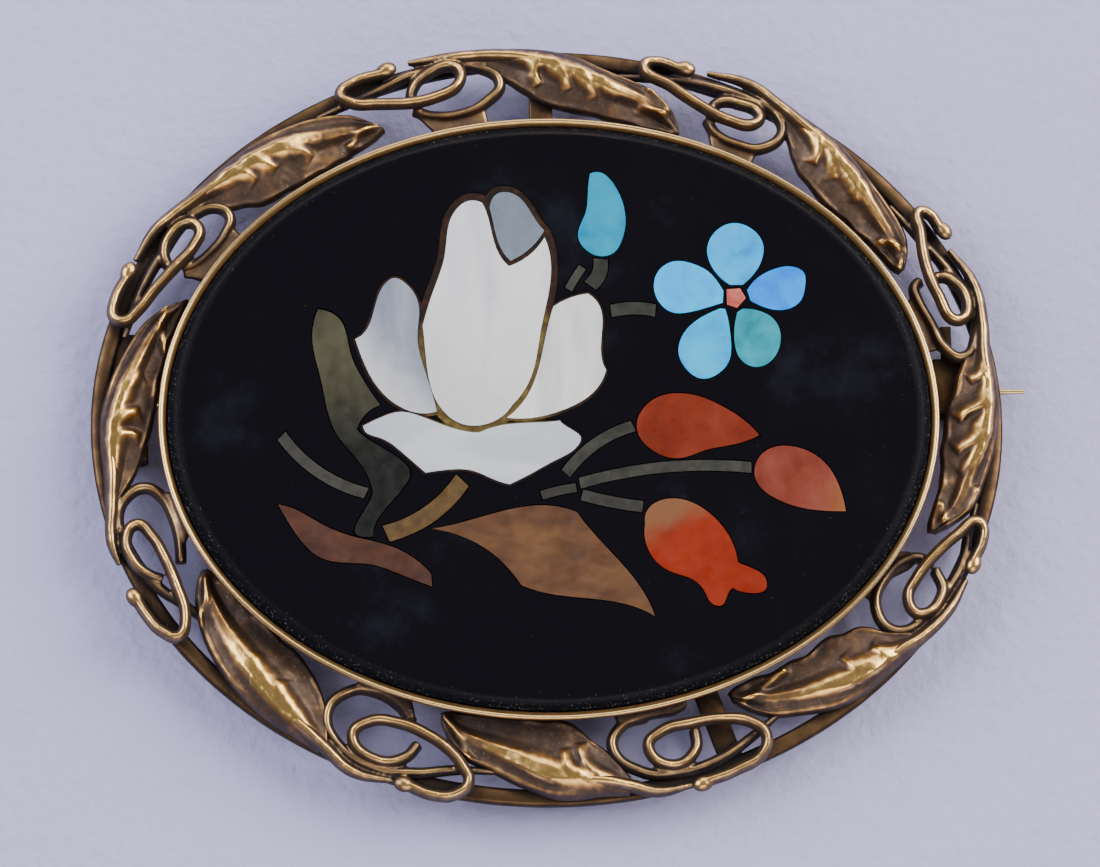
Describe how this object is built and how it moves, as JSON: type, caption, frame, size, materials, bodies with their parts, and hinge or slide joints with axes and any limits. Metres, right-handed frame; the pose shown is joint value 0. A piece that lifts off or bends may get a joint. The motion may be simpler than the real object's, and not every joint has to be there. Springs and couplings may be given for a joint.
{
  "type": "brooch",
  "caption": "Oval gold brooch: a black marble plaque inlaid with flowers and berries in coloured stones, in a plain rim with an openwork border of scrolls and chased leaves.",
  "frame": {"origin": "under the middle of the whole brooch, pin point included, on the plane that its catch and hinge rest on", "axes": "+Z out of the face, +X along the pin towards its point, +Y to the top of the picture"},
  "size_m": [0.0517, 0.0428, 0.0047],
  "materials": {
    "gold": "worn bright gold, dark in the chased hollows",
    "pin_gold": "dull worn gold",
    "marble_black": "polished black marble",
    "mastic": "hardened brown-red setting wax",
    "marble_white": "polished white stone with bluish streaks",
    "marble_white_cool": "polished pale grey-blue stone",
    "marble_grey": "polished grey stone",
    "leaf_green": "polished olive stone, darker at the foot",
    "leaf_brown": "polished mottled brown stone",
    "stem_tan": "polished tan stone",
    "stem_stone": "polished grey-olive stone",
    "turquoise": "polished turquoise",
    "eye_red": "polished pink-red stone",
    "coral": "polished orange-red stone"
  },
  "bodies": {
    "root": {"bud": "turquoise", "bud_stem": "stem_stone", "bud_stem_foot": "stem_stone", "centre_petal": "marble_white", "flower_eye": "eye_red", "flower_mastic": "mastic", "flower_stem": "stem_stone", "gold_mount": "gold", "green_leaf": "leaf_green", "grey_tip": "marble_grey", "large_brown_leaf": "leaf_brown", "left_brown_leaf": "leaf_brown", "left_petal": "marble_white_cool", "left_stem": "stem_stone", "lower_berry": "coral", "lower_berry_stem": "stem_stone", "lower_petal": "marble_white", "petal_left": "turquoise", "petal_lower_left": "turquoise", "petal_lower_right": "turquoise", "petal_right": "turquoise", "petal_top": "turquoise", "pin_stem": "pin_gold", "plaque": "marble_black", "right_berry": "coral", "right_berry_stem": "stem_stone", "right_petal": "marble_white", "stem_fork": "stem_stone", "tan_stem": "stem_tan", "upper_berry": "coral", "upper_berry_stem": "stem_stone"}
  },
  "joints": []
}
